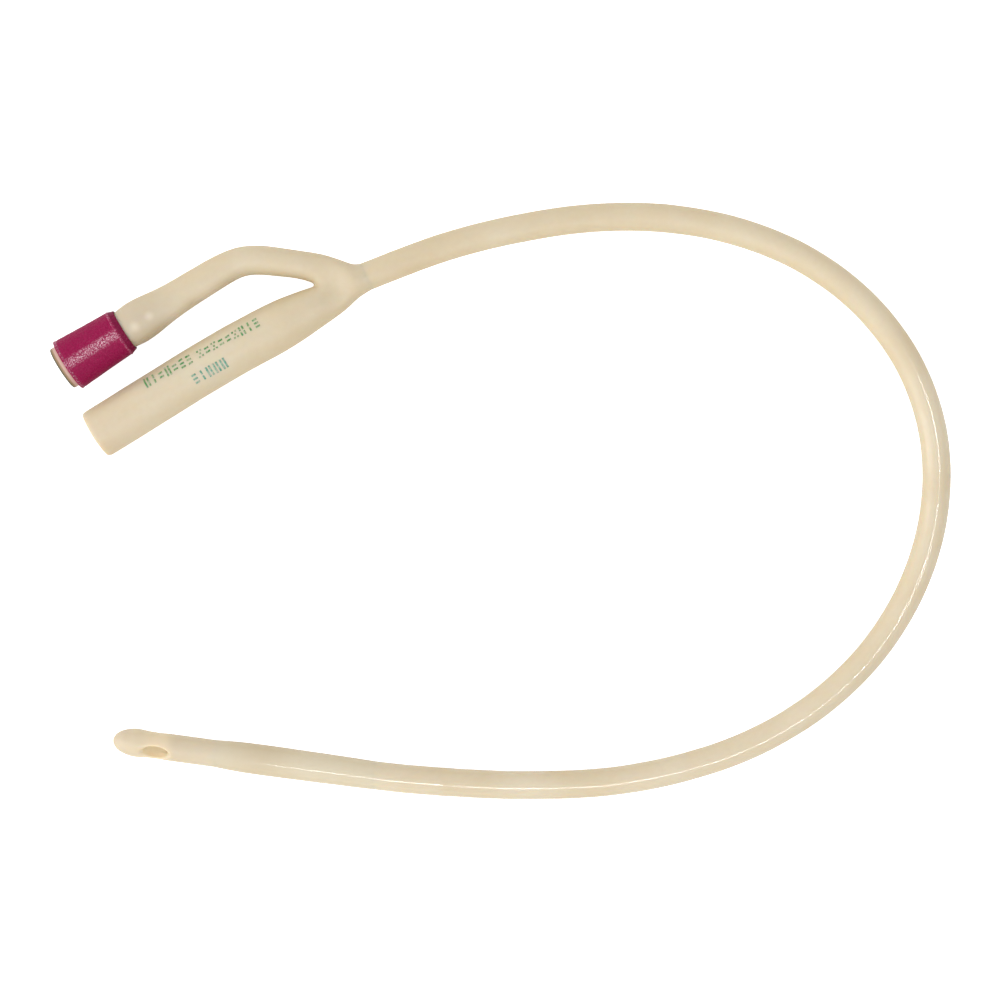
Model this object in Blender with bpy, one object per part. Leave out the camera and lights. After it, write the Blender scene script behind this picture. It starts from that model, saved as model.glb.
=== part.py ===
"""Two-way latex retention catheter with a 6 mm shaft, lying in one open loop on a table.

Metres, +Z up, the table at z = 0. The drainage funnel runs along X with its mouth facing -X, and the inflation
arm lies beside it on the +Y side. The shaft leaves the neck towards +X, sweeps round below both and ends in the
balloon and the tip. The origin is on the table, under the middle of the funnel body with its valve.
"""

import math

import bmesh
import bpy
from mathutils import Matrix, Vector
from mathutils.geometry import interpolate_bezier

# Clearance between pieces that touch on the real product
SEAT_GAP = 0.0003
# How far a core pin reaches past the face that it opens
PIN_OVERRUN = 0.002

# Shaft
SHAFT_RADIUS = 0.0030
SHAFT_POINT_SPACING = 0.012
DRAIN_RADIUS = 0.0016
DRAIN_SHIFT = 0.00045
INFLATION_RADIUS = 0.0004
INFLATION_SHIFT = 0.0021

# Drainage funnel, measured from its mouth along +X
MOUTH_X = -0.0345
FUNNEL_Y = -0.0076
FUNNEL_RADIUS = 0.00543
FUNNEL_WALL = 0.0012
FUNNEL_STRAIGHT = 0.030
THROAT_START = 0.046
FORK_DISTANCE = 0.0600
FORK_DRIFT = 0.0018
FORK_FUNNEL_RADIUS = 0.0038

# Neck, where the two legs become the shaft
NECK_LENGTH = 0.0084
NECK_DRIFT = 0.00028
NECK_HEADING = math.radians(-10.5)

# Inflation arm, beside the funnel and then down to the fork
ARM_SPACING = 0.0157
ARM_END = 0.0031
ARM_SLANT = math.radians(-39)
ARM_BEND_RADIUS = 0.0115
ARM_FORK_SIDE = 0.0048
ARM_FORK_RADIUS = 0.00295
ARM_RADIUS = 0.0034
ARM_SEAT_RADIUS = 0.00405
ARM_SEAT_WALL = 0.0010
ARM_SEAT_LENGTH = 0.0137
ARM_BULGE_RADIUS = 0.00465
ARM_LUMEN_RADIUS = 0.0008

# Web between the legs
WEB_THICKNESS = 0.0022
WEB_HEIGHT = 0.0026
VALLEY_HEIGHT = 0.0022

# Colour band round the end of the arm
BAND_LENGTH = 0.0143
BAND_RADIUS = 0.0058
BAND_NOSE_RADIUS = 0.00512
BAND_CHAMFER = 0.0011
BAND_LIP = 0.0003

# Valve plug inside the arm
PLUG_RIM_RADIUS = 0.00485
PLUG_RIM_THICKNESS = 0.0012
PLUG_BULB_SWELL = 0.0004
PLUG_BULB_LENGTH = 0.0036
PLUG_NOSE_LENGTH = 0.0036
PLUG_NOSE_RADIUS = 0.0019
PORT_RADIUS = 0.0019
PORT_DEPTH = 0.0100
PORT_TAPER = 0.00015
MEMBRANE_THICKNESS = 0.0022
PLUG_LUMEN_RADIUS = 0.0011

# Balloon and the tip that carries it
TIP_HEADING = math.radians(140.3)
BALLOON_LENGTH = 0.0300
BALLOON_RADIUS = 0.00327
BALLOON_END_RADIUS = 0.00308
BALLOON_EDGE = 0.0012
STEM_RADIUS = 0.00245
TIP_LENGTH = 0.0249
TIP_LUMEN_RADIUS = 0.00135
BULB_RADIUS = 0.00292
WAIST_RADIUS = 0.00278
NOSE_LENGTH = 0.0052
EYE_DISTANCE = 0.0092
EYE_LENGTH = 0.0054
EYE_WIDTH = 0.0028
EYE_TURN = math.radians(32)
EYE_FLARE = 1.22
STEM_PASSAGE_SHIFT = 0.00175
STEM_PASSAGE_RADIUS = 0.00035

# Route of the shaft's centreline after the neck, on the table
ROUTE = (
    (0.0499, -0.0128, 0.0046),
    (0.0652, -0.0176, 0.0037),
    (0.0799, -0.0240, 0.0031),
    (0.0934, -0.0325, 0.0030),
    (0.1051, -0.0433, 0.0030),
    (0.1143, -0.0564, 0.0030),
    (0.1198, -0.0714, 0.0030),
    (0.1208, -0.0873, 0.0030),
    (0.1169, -0.1027, 0.0030),
    (0.1084, -0.1162, 0.0030),
    (0.0965, -0.1268, 0.0030),
    (0.0823, -0.1340, 0.0030),
    (0.0668, -0.1375, 0.0030),
    (0.0508, -0.1374, 0.0030),
    (0.0352, -0.1341, 0.0030),
    (0.0202, -0.1284, 0.0030),
    (0.0062, -0.1207, 0.0030),
    (-0.0071, -0.1119, 0.0031),
    (-0.0230, -0.0999, 0.00327),
)

ROUND_SIDES = 32
BORE_SIDES = 24
SMALL_BORE_SIDES = 10
CAGE_SIDES = 8
# A ring of cage corners settles this much inwards when it is subdivided
CAGE_SWELL = 3 / (2 + math.cos(math.tau / CAGE_SIDES))
UP = Vector((0, 0, 1))


def clear_scene():
    for obj in list(bpy.data.objects):
        bpy.data.objects.remove(obj)


def rubber(name, colour, roughness):
    """A material of one colour, for one piece."""
    material = bpy.data.materials.new(name)
    material.use_nodes = True
    shader = material.node_tree.nodes["Principled BSDF"]
    shader.inputs["Base Color"].default_value = (*colour, 1)
    shader.inputs["Roughness"].default_value = roughness
    shader.inputs["Metallic"].default_value = 0
    return material


def object_from(bm, name):
    """Close a bmesh into a named object with its faces turned outwards."""
    bmesh.ops.recalc_face_normals(bm, faces=bm.faces)
    mesh = bpy.data.meshes.new(name)
    bm.to_mesh(mesh)
    bm.free()
    obj = bpy.data.objects.new(name, mesh)
    bpy.context.scene.collection.objects.link(obj)
    return obj


def left_of(heading):
    return Vector((-math.sin(heading), math.cos(heading), 0))


def ahead_of(heading):
    return Vector((math.cos(heading), math.sin(heading), 0))


def bridge(bm, first, second):
    """Quads between two rings of as many corners."""
    for i, corner in enumerate(first):
        j = (i + 1) % len(first)
        bm.faces.new((corner, first[j], second[j], second[i]))


def core_pin(name, rows, sides):
    """A closed round bar through rows of centre, heading and radius, to cut a bore with.

    Its corners stand half a side off, so that none falls on an edge of the piece that it cuts.
    """
    bm = bmesh.new()
    rings = []
    for centre, heading, radius in rows:
        left = left_of(heading)
        ring = []
        for i in range(sides):
            angle = math.tau * (i + 0.5) / sides
            ring.append(bm.verts.new(centre + radius * (left * math.cos(angle) + UP * math.sin(angle))))
        rings.append(ring)
    for first, second in zip(rings, rings[1:]):
        bridge(bm, first, second)
    bm.faces.new(rings[0])
    bm.faces.new(rings[-1])
    return as_cutter(object_from(bm, name))


def as_cutter(obj):
    obj.hide_render = True
    obj.display_type = "WIRE"
    return obj


def turned(name, profile, sides, closed=False):
    """Turn a profile of distance along X and radius into a round piece, with a flat cap on each open end."""
    bm = bmesh.new()
    corners = [bm.verts.new((x, 0, radius)) for x, radius in profile]
    pairs = list(zip(corners, corners[1:]))
    if closed:
        pairs.append((corners[-1], corners[0]))
    edges = [bm.edges.new(pair) for pair in pairs]
    bmesh.ops.spin(
        bm,
        geom=corners + edges,
        cent=(0, 0, 0),
        axis=(1, 0, 0),
        angle=math.tau,
        steps=sides,
        use_merge=True,
    )
    bmesh.ops.remove_doubles(bm, verts=bm.verts, dist=1e-7)
    rims = [edge for edge in bm.edges if edge.is_boundary]
    bmesh.ops.edgeloop_fill(bm, edges=rims)
    return object_from(bm, name)


def cut(obj, cutter):
    modifier = obj.modifiers.new(cutter.name, "BOOLEAN")
    modifier.operation = "DIFFERENCE"
    modifier.solver = "EXACT"
    modifier.object = cutter


def finish(obj, material):
    """Make the modifiers' result the piece's own mesh, and shade it."""
    graph = bpy.context.evaluated_depsgraph_get()
    mesh = bpy.data.meshes.new_from_object(obj.evaluated_get(graph))
    cutters = [modifier.object for modifier in obj.modifiers if modifier.type == "BOOLEAN"]
    obj.modifiers.clear()
    obj.data = mesh
    obj.data.name = obj.name
    for cutter in cutters:
        bpy.data.objects.remove(cutter)
    mesh.shade_smooth()
    mesh.set_sharp_from_angle(angle=math.radians(40))
    mesh.materials.clear()
    mesh.materials.append(material)


def arc(along, radius, bend, start, end, steps):
    """Points of a rounded corner in a turned profile, its centre at along and radius."""
    points = []
    for i in range(steps + 1):
        angle = math.radians(start + (end - start) * i / steps)
        points.append((along + bend * math.cos(angle), radius + bend * math.sin(angle)))
    return points


# Places in the funnel body's own frame: the mouth's centre is the origin and the funnel runs along +X


def funnel_centre(distance, drift):
    return Vector((distance, -drift, FUNNEL_RADIUS))


def fork_arm_centre():
    return Vector((FORK_DISTANCE, ARM_FORK_SIDE, FUNNEL_RADIUS))


def neck_end():
    return funnel_centre(FORK_DISTANCE + NECK_LENGTH, FORK_DRIFT + NECK_DRIFT)


def arm_lengths():
    """Lengths of the arm's straight part, its bend and its slanted part."""
    turn = -ARM_SLANT
    reach = ARM_BEND_RADIUS * math.tan(turn / 2)
    drop = ARM_SPACING - ARM_FORK_SIDE
    corner = FORK_DISTANCE - drop / math.tan(turn)
    return corner - reach - ARM_END, ARM_BEND_RADIUS * turn, drop / math.sin(turn) - reach


def arm_at(distance):
    """Centre and heading of the arm at a distance from its open end."""
    straight, bend, slanted = arm_lengths()
    bend_start = Vector((ARM_END + straight, ARM_SPACING, 0))
    if distance <= straight:
        heading = 0
        centre = Vector((ARM_END + distance, ARM_SPACING, 0))
    elif distance <= straight + bend:
        heading = -(distance - straight) / ARM_BEND_RADIUS
        centre = bend_start + ARM_BEND_RADIUS * (left_of(heading) - left_of(0))
    else:
        heading = ARM_SLANT
        centre = fork_arm_centre() - ahead_of(heading) * (straight + bend + slanted - distance)
    share = min(max((distance - straight / 2) / (straight / 2 + bend + slanted), 0), 1)
    centre.z = BAND_RADIUS + (FUNNEL_RADIUS - BAND_RADIUS) * share
    return centre, heading


def cage_ring(bm, centre, heading, radius):
    """Corners round a leg: the top first, then down its left side and up its right side."""
    left = left_of(heading)
    corners = []
    for i in range(CAGE_SIDES):
        angle = math.pi / 2 - math.tau * i / CAGE_SIDES
        reach = left * math.cos(angle) + UP * math.sin(angle)
        corners.append(bm.verts.new(centre + CAGE_SWELL * radius * reach))
    return corners


def close_end(bm, ring):
    """A flat face with a crisp edge on the last ring of a leg."""
    bm.faces.new(ring)
    crease = bm.edges.layers.float.get("crease_edge") or bm.edges.layers.float.new("crease_edge")
    for i, corner in enumerate(ring):
        edge = bm.edges.get((corner, ring[(i + 1) % len(ring)]))
        edge[crease] = 1


def leg(bm, rows, fork_ring):
    """A run of rings from an open end to the fork."""
    rings = [cage_ring(bm, *row) for row in rows]
    for first, second in zip(rings, rings[1:] + [fork_ring]):
        bridge(bm, first, second)
    close_end(bm, rings[0])


def funnel_rows():
    taper = FORK_DISTANCE - THROAT_START
    return (
        (funnel_centre(0, 0), 0, FUNNEL_RADIUS),
        (funnel_centre(FUNNEL_STRAIGHT / 2, 0), 0, FUNNEL_RADIUS),
        (funnel_centre(FUNNEL_STRAIGHT, 0), 0, FUNNEL_RADIUS),
        (funnel_centre((FUNNEL_STRAIGHT + THROAT_START) / 2, 0.22 * FORK_DRIFT), 0, FUNNEL_RADIUS),
        (funnel_centre(THROAT_START, 0.52 * FORK_DRIFT), math.radians(-3), FUNNEL_RADIUS),
        (
            funnel_centre(THROAT_START + 0.35 * taper, 0.7 * FORK_DRIFT),
            math.radians(-4),
            0.36 * FORK_FUNNEL_RADIUS + 0.64 * FUNNEL_RADIUS,
        ),
        (
            funnel_centre(THROAT_START + 0.68 * taper, 0.92 * FORK_DRIFT),
            math.radians(-4),
            0.76 * FORK_FUNNEL_RADIUS + 0.24 * FUNNEL_RADIUS,
        ),
    )


def arm_rows():
    straight, bend, slanted = arm_lengths()
    seat = ARM_SEAT_LENGTH
    stations = (
        (0, ARM_SEAT_RADIUS),
        (seat / 2, ARM_SEAT_RADIUS),
        (seat, ARM_SEAT_RADIUS),
        (seat + 0.0022, ARM_BULGE_RADIUS),
        (seat + 0.0050, ARM_BULGE_RADIUS),
        (seat + 0.0085, 0.6 * ARM_BULGE_RADIUS + 0.4 * ARM_RADIUS),
        (seat + 0.0120, 0.25 * ARM_BULGE_RADIUS + 0.75 * ARM_RADIUS),
        (0.8 * straight, 0.1 * ARM_BULGE_RADIUS + 0.9 * ARM_RADIUS),
        (straight, ARM_RADIUS),
        (straight + bend / 2, 0.7 * ARM_RADIUS + 0.3 * ARM_FORK_RADIUS),
        (straight + bend, 0.5 * ARM_RADIUS + 0.5 * ARM_FORK_RADIUS),
        (straight + bend + 0.35 * slanted, 0.3 * ARM_RADIUS + 0.7 * ARM_FORK_RADIUS),
        (straight + bend + 0.68 * slanted, ARM_FORK_RADIUS),
    )
    return [(*arm_at(distance), radius) for distance, radius in stations]


def neck_rows():
    """From the shaft's end back to the fork."""
    end = neck_end()
    ahead = ahead_of(NECK_HEADING)
    return (
        (end, NECK_HEADING, SHAFT_RADIUS),
        (end - 0.35 * NECK_LENGTH * ahead, NECK_HEADING, 1.05 * SHAFT_RADIUS),
        (
            funnel_centre(FORK_DISTANCE + 0.42 * NECK_LENGTH, FORK_DRIFT - 0.0009),
            math.radians(-20),
            0.5 * (SHAFT_RADIUS + FORK_FUNNEL_RADIUS) + 0.0008,
        ),
    )


def funnel_skin():
    """The outside of the Y: a funnel leg, an arm leg and the neck, which meet at one fork with a web."""
    bm = bmesh.new()
    funnel_fork = cage_ring(bm, funnel_centre(FORK_DISTANCE, FORK_DRIFT), math.radians(-4), FORK_FUNNEL_RADIUS)
    arm_fork = cage_ring(bm, fork_arm_centre(), ARM_SLANT, ARM_FORK_RADIUS)
    middle = (ARM_FORK_SIDE - ARM_FORK_RADIUS - FORK_DRIFT + FORK_FUNNEL_RADIUS) / 2
    valley = Vector((FORK_DISTANCE, middle, FUNNEL_RADIUS))
    shared = [
        bm.verts.new(valley + VALLEY_HEIGHT * UP),
        bm.verts.new(valley + Vector((-WEB_THICKNESS, 0, WEB_HEIGHT / 2))),
        bm.verts.new(valley + Vector((-1.3 * WEB_THICKNESS, 0, 0))),
        bm.verts.new(valley + Vector((-WEB_THICKNESS, 0, -WEB_HEIGHT / 2))),
        bm.verts.new(valley - VALLEY_HEIGHT * UP),
    ]
    spare = funnel_fork[:5] + [arm_fork[i] for i in (4, 5, 6, 7, 0)]
    funnel_fork[:5] = shared
    arm_fork = [shared[0], *arm_fork[1:4], *shared[:0:-1]]
    neck_fork = arm_fork[:4] + funnel_fork[4:]
    bmesh.ops.delete(bm, geom=spare, context="VERTS")
    leg(bm, funnel_rows(), funnel_fork)
    leg(bm, arm_rows(), arm_fork)
    leg(bm, neck_rows(), neck_fork)
    skin = object_from(bm, "funnel_body")
    smooth = skin.modifiers.new("smooth", "SUBSURF")
    smooth.levels = 2
    smooth.render_levels = 2
    return skin


def drainage_pin():
    """The core of the drainage side: a wide funnel bore, a throat and the shaft's drainage lumen."""
    bore = FUNNEL_RADIUS - FUNNEL_WALL
    span = bore - DRAIN_RADIUS
    throat = FORK_DISTANCE - THROAT_START
    ahead = ahead_of(NECK_HEADING)
    end = neck_end() - DRAIN_SHIFT * left_of(NECK_HEADING)
    rows = [
        (funnel_centre(-PIN_OVERRUN, 0), 0, bore),
        (funnel_centre(FUNNEL_STRAIGHT, 0), 0, bore - 0.08 * span),
        (funnel_centre(THROAT_START, 0.52 * FORK_DRIFT), math.radians(-3), bore - 0.20 * span),
        (funnel_centre(THROAT_START + 0.25 * throat, 0.68 * FORK_DRIFT), math.radians(-4), bore - 0.35 * span),
        (funnel_centre(THROAT_START + 0.55 * throat, 0.85 * FORK_DRIFT), math.radians(-4), bore - 0.65 * span),
        (funnel_centre(THROAT_START + 0.85 * throat, FORK_DRIFT), math.radians(-4), bore - 0.88 * span),
        (end - 0.6 * NECK_LENGTH * ahead, NECK_HEADING, DRAIN_RADIUS),
        (end + PIN_OVERRUN * ahead, NECK_HEADING, DRAIN_RADIUS),
    ]
    return core_pin("drainage_pin", rows, BORE_SIDES)


def valve_seat_pin():
    """The core of the valve's seat in the arm, with room for the plug's bulb and nose."""
    seat = ARM_SEAT_RADIUS - ARM_SEAT_WALL
    bulb_end = ARM_SEAT_LENGTH + PLUG_BULB_LENGTH + 2 * SEAT_GAP
    nose_end = bulb_end + PLUG_NOSE_LENGTH + SEAT_GAP
    stations = (
        (-PIN_OVERRUN, seat),
        (ARM_SEAT_LENGTH - SEAT_GAP, seat),
        (ARM_SEAT_LENGTH + 0.2 * PLUG_BULB_LENGTH, seat + PLUG_BULB_SWELL),
        (bulb_end - 0.2 * PLUG_BULB_LENGTH, seat + PLUG_BULB_SWELL),
        (nose_end, PLUG_NOSE_RADIUS + SEAT_GAP),
    )
    rows = [(*arm_at(distance), radius) for distance, radius in stations]
    return core_pin("valve_seat_pin", rows, BORE_SIDES)


def inflation_pin():
    """The core of the inflation passage, from the valve's seat down the arm and into the wall of the neck."""
    straight, bend, slanted = arm_lengths()
    start = ARM_SEAT_LENGTH + PLUG_BULB_LENGTH
    whole = straight + bend + slanted
    ahead = ahead_of(NECK_HEADING)
    end = neck_end() + INFLATION_SHIFT * left_of(NECK_HEADING)
    distances = [start, straight, straight + bend / 3, straight + 2 * bend / 3, straight + bend]
    rows = [(*arm_at(distance), ARM_LUMEN_RADIUS) for distance in distances]
    rows.append((*arm_at(whole - 0.2 * slanted), 0.8 * ARM_LUMEN_RADIUS))
    rows.append((end - 0.45 * NECK_LENGTH * ahead, (NECK_HEADING + ARM_SLANT) / 2, INFLATION_RADIUS))
    rows.append((end - 0.15 * NECK_LENGTH * ahead, NECK_HEADING, INFLATION_RADIUS))
    rows.append((end + PIN_OVERRUN * ahead, NECK_HEADING, INFLATION_RADIUS))
    return core_pin("inflation_pin", rows, SMALL_BORE_SIDES)


def make_funnel_body(parent):
    body = funnel_skin()
    for pin in (drainage_pin(), valve_seat_pin(), inflation_pin()):
        cut(body, pin)
    finish(body, rubber("funnel_latex", (0.76, 0.62, 0.42), 0.45))
    body.parent = parent


def make_colour_band(parent):
    """A tapered ring round the arm's end, with a chamfer towards the arm."""
    inner = ARM_SEAT_RADIUS + SEAT_GAP
    chamfer_start = BAND_LENGTH - BAND_CHAMFER
    profile = [(0, inner), (0, BAND_RADIUS - BAND_LIP)]
    profile += arc(BAND_LIP, BAND_RADIUS - BAND_LIP, BAND_LIP, 165, 90, 3)
    profile += [(chamfer_start, BAND_NOSE_RADIUS), (BAND_LENGTH, inner + BAND_LIP), (BAND_LENGTH, inner)]
    band = turned("colour_band", profile, ROUND_SIDES, closed=True)
    finish(band, rubber("band_red", (0.50, 0.01, 0.10), 0.4))
    band.location = arm_at(0)[0]
    band.parent = parent


def make_valve_plug(parent):
    """A rubber plug with a rim outside the arm, a bulb that holds it and a port that ends at a membrane."""
    stem = ARM_SEAT_RADIUS - ARM_SEAT_WALL - SEAT_GAP
    rim_back = -SEAT_GAP
    front = rim_back - PLUG_RIM_THICKNESS
    edge = 0.3 * PLUG_RIM_THICKNESS
    membrane = front + PORT_DEPTH
    bulb_end = ARM_SEAT_LENGTH + PLUG_BULB_LENGTH
    tail = bulb_end + PLUG_NOSE_LENGTH
    bulb = stem + PLUG_BULB_SWELL
    profile = [(membrane, PORT_RADIUS - PORT_TAPER), (front + edge, PORT_RADIUS)]
    profile += [(front, PORT_RADIUS + edge)]
    profile += arc(front + edge, PLUG_RIM_RADIUS - edge, edge, 180, 90, 3)
    profile += [(rim_back, PLUG_RIM_RADIUS), (rim_back, stem), (ARM_SEAT_LENGTH, stem)]
    profile += [(ARM_SEAT_LENGTH + 0.25 * PLUG_BULB_LENGTH, bulb), (bulb_end - 0.25 * PLUG_BULB_LENGTH, bulb)]
    profile += [(tail - edge, PLUG_NOSE_RADIUS), (tail, PLUG_NOSE_RADIUS - edge), (tail, PLUG_LUMEN_RADIUS)]
    profile.append((membrane + MEMBRANE_THICKNESS, PLUG_LUMEN_RADIUS))
    plug = turned("valve_plug", profile, ROUND_SIDES)
    finish(plug, rubber("plug_rubber", (0.30, 0.20, 0.10), 0.5))
    plug.location = arm_at(0)[0]
    plug.parent = parent


def tip_profile():
    """Outline of the solid tip: the stem under the balloon, a shoulder, the waist at the eyes, the bulb and nose."""
    end = BALLOON_LENGTH + TIP_LENGTH
    bulb = end - NOSE_LENGTH
    waist = end - EYE_DISTANCE
    shoulder = BALLOON_LENGTH + SEAT_GAP
    profile = [(0, STEM_RADIUS), (shoulder, STEM_RADIUS), (shoulder, SHAFT_RADIUS)]
    body_end = waist - 0.8 * EYE_LENGTH
    profile.append((body_end, SHAFT_RADIUS))
    for share in (0.25, 0.5, 0.75, 1):
        blend = 0.5 - 0.5 * math.cos(math.pi * share)
        profile.append((body_end + share * (waist - body_end), SHAFT_RADIUS + blend * (WAIST_RADIUS - SHAFT_RADIUS)))
    profile.append(((waist + bulb) / 2, (WAIST_RADIUS + BULB_RADIUS) / 2))
    for i in range(8):
        angle = math.pi / 2 * i / 8
        profile.append((bulb + NOSE_LENGTH * math.sin(angle), BULB_RADIUS * math.cos(angle)))
    profile.append((end, 0))
    return profile


def eye_cutter():
    """An oval bar straight through the tip, wider where it leaves the surface on both sides."""
    bm = bmesh.new()
    rings = []
    reach = 2 * SHAFT_RADIUS
    skin = 0.80 * WAIST_RADIUS
    outside = 1 + (EYE_FLARE - 1) * (reach - skin) / (WAIST_RADIUS - skin)
    for height, flare in ((-reach, outside), (-skin, 1), (skin, 1), (reach, outside)):
        ring = []
        for i in range(BORE_SIDES):
            angle = math.tau * i / BORE_SIDES
            along = 0.5 * flare * EYE_LENGTH * math.cos(angle)
            across = 0.5 * flare * EYE_WIDTH * math.sin(angle)
            ring.append(bm.verts.new((along, across, height)))
        rings.append(ring)
    for first, second in zip(rings, rings[1:]):
        bridge(bm, first, second)
    bm.faces.new(rings[0])
    bm.faces.new(rings[-1])
    cutter = as_cutter(object_from(bm, "eye_cutter"))
    centre = BALLOON_LENGTH + TIP_LENGTH - EYE_DISTANCE
    cutter.data.transform(Matrix.Translation((centre, 0, 0)) @ Matrix.Rotation(-EYE_TURN, 4, "X"))
    return cutter


def inflation_eye_pin():
    """The core of the passage in the stem's wall, which turns out to the small eye inside the balloon."""
    eye = BALLOON_LENGTH / 2
    bend = 1.5 * STEM_PASSAGE_RADIUS
    outwards = math.pi / 2
    rows = (
        (Vector((-PIN_OVERRUN, STEM_PASSAGE_SHIFT, 0)), 0, STEM_PASSAGE_RADIUS),
        (Vector((eye - bend, STEM_PASSAGE_SHIFT, 0)), 0, STEM_PASSAGE_RADIUS),
        (Vector((eye - 0.3 * bend, STEM_PASSAGE_SHIFT + 0.3 * bend, 0)), outwards / 2, STEM_PASSAGE_RADIUS),
        (Vector((eye, STEM_PASSAGE_SHIFT + bend, 0)), outwards, STEM_PASSAGE_RADIUS),
        (Vector((eye, STEM_RADIUS + PIN_OVERRUN, 0)), outwards, STEM_PASSAGE_RADIUS),
    )
    return core_pin("inflation_eye_pin", rows, SMALL_BORE_SIDES)


def make_tip(place):
    """The moulded tip with its two drainage eyes, and the stem that carries the balloon."""
    tip = turned("tip", tip_profile(), ROUND_SIDES)
    eye_end = BALLOON_LENGTH + TIP_LENGTH - EYE_DISTANCE + 0.45 * EYE_LENGTH
    lumen = (
        (Vector((-PIN_OVERRUN, -DRAIN_SHIFT, 0)), 0, TIP_LUMEN_RADIUS),
        (Vector((BALLOON_LENGTH, -DRAIN_SHIFT, 0)), 0, TIP_LUMEN_RADIUS),
        (Vector((BALLOON_LENGTH + 0.3 * TIP_LENGTH, 0, 0)), 0, TIP_LUMEN_RADIUS),
        (Vector((eye_end - TIP_LUMEN_RADIUS, 0, 0)), 0, TIP_LUMEN_RADIUS),
        (Vector((eye_end, 0, 0)), 0, 0.5 * TIP_LUMEN_RADIUS),
    )
    for cutter in (core_pin("lumen_pin", lumen, BORE_SIDES), eye_cutter(), inflation_eye_pin()):
        cut(tip, cutter)
    finish(tip, rubber("tip_latex", (0.76, 0.62, 0.42), 0.45))
    tip.matrix_local = place


def make_balloon(place):
    """A thin latex sleeve, empty of water, bonded flat over the stem at both ends."""
    inner = STEM_RADIUS + SEAT_GAP
    length = BALLOON_LENGTH
    profile = [(0, inner), (0, BALLOON_END_RADIUS - 0.4 * (BALLOON_END_RADIUS - inner))]
    profile += [(0.4 * BALLOON_EDGE, BALLOON_END_RADIUS)]
    for share in (0.25, 0.5, 0.75):
        blend = math.sin(math.pi / 2 * share)
        profile.append((share * length, BALLOON_END_RADIUS + blend * (BALLOON_RADIUS - BALLOON_END_RADIUS)))
    profile += [(length - BALLOON_EDGE, BALLOON_RADIUS), (length - 0.3 * BALLOON_EDGE, SHAFT_RADIUS + 0.0001)]
    profile += [(length, SHAFT_RADIUS), (length, inner)]
    balloon = turned("balloon", profile, ROUND_SIDES, closed=True)
    finish(balloon, rubber("balloon_latex", (0.78, 0.62, 0.40), 0.4))
    balloon.matrix_local = place


def smooth_route(points, start_heading, end_heading):
    """Points at an even spacing on one smooth curve through the route."""
    tangents = [(after - before) / 2 for before, after in zip(points, points[2:])]
    tangents.insert(0, ahead_of(start_heading) * (points[1] - points[0]).length)
    tangents.append(ahead_of(end_heading) * (points[-1] - points[-2]).length)
    fine = []
    for i in range(len(points) - 1):
        handles = (points[i] + tangents[i] / 3, points[i + 1] - tangents[i + 1] / 3)
        fine += interpolate_bezier(points[i], *handles, points[i + 1], 17)[:-1]
    fine.append(points[-1])
    lengths = [0]
    for first, second in zip(fine, fine[1:]):
        lengths.append(lengths[-1] + (second - first).length)
    count = round(lengths[-1] / SHAFT_POINT_SPACING)
    even = []
    j = 0
    for i in range(count + 1):
        wanted = lengths[-1] * i / count
        while j < len(fine) - 2 and lengths[j + 1] < wanted:
            j += 1
        share = (wanted - lengths[j]) / (lengths[j + 1] - lengths[j])
        even.append(fine[j].lerp(fine[j + 1], min(share, 1)))
    return even


def make_shaft(start):
    """The flexible shaft, lying free from the neck to the balloon."""
    curve = bpy.data.curves.new("shaft", "CURVE")
    curve.dimensions = "3D"
    curve.bevel_depth = SHAFT_RADIUS
    curve.bevel_resolution = 4
    curve.use_fill_caps = True
    points = [start + SEAT_GAP * ahead_of(NECK_HEADING)] + [Vector(point) for point in ROUTE]
    route = smooth_route(points, NECK_HEADING, TIP_HEADING)
    spline = curve.splines.new("POLY")
    spline.points.add(len(route) - 1)
    for point, place in zip(spline.points, route):
        point.co = (*place, 1)
    spline.use_smooth = True
    curve.materials.append(rubber("shaft_latex", (0.76, 0.62, 0.42), 0.45))
    shaft = bpy.data.objects.new("shaft", curve)
    bpy.context.scene.collection.objects.link(shaft)
    return shaft


def make_frame():
    """The empty that carries the funnel body and its valve, at the middle of the mouth, on the table."""
    frame = bpy.data.objects.new("mouth_frame", None)
    frame.location = (MOUTH_X, FUNNEL_Y, 0)
    bpy.context.scene.collection.objects.link(frame)
    return frame


def main():
    clear_scene()
    frame = make_frame()
    make_funnel_body(frame)
    make_colour_band(frame)
    make_valve_plug(frame)
    make_shaft(neck_end() + frame.location)
    stem_start = Vector(ROUTE[-1]) + SEAT_GAP * ahead_of(TIP_HEADING)
    place = Matrix.Translation(stem_start) @ Matrix.Rotation(TIP_HEADING, 4, "Z")
    make_tip(place)
    make_balloon(place)


main()
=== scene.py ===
"""The looks of a two-way latex retention catheter that lies in an open loop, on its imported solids.

Laid out as an add-on and run as a script: the operators build the stage and then each visible piece.
Metres, in the frame of the solids: +X runs from the drainage mouth towards the shaft, and +Y from the
funnel to the inflation arm.
"""

import math

import bmesh
import bpy
from mathutils import Matrix, Vector
from mathutils.geometry import interpolate_bezier


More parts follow.
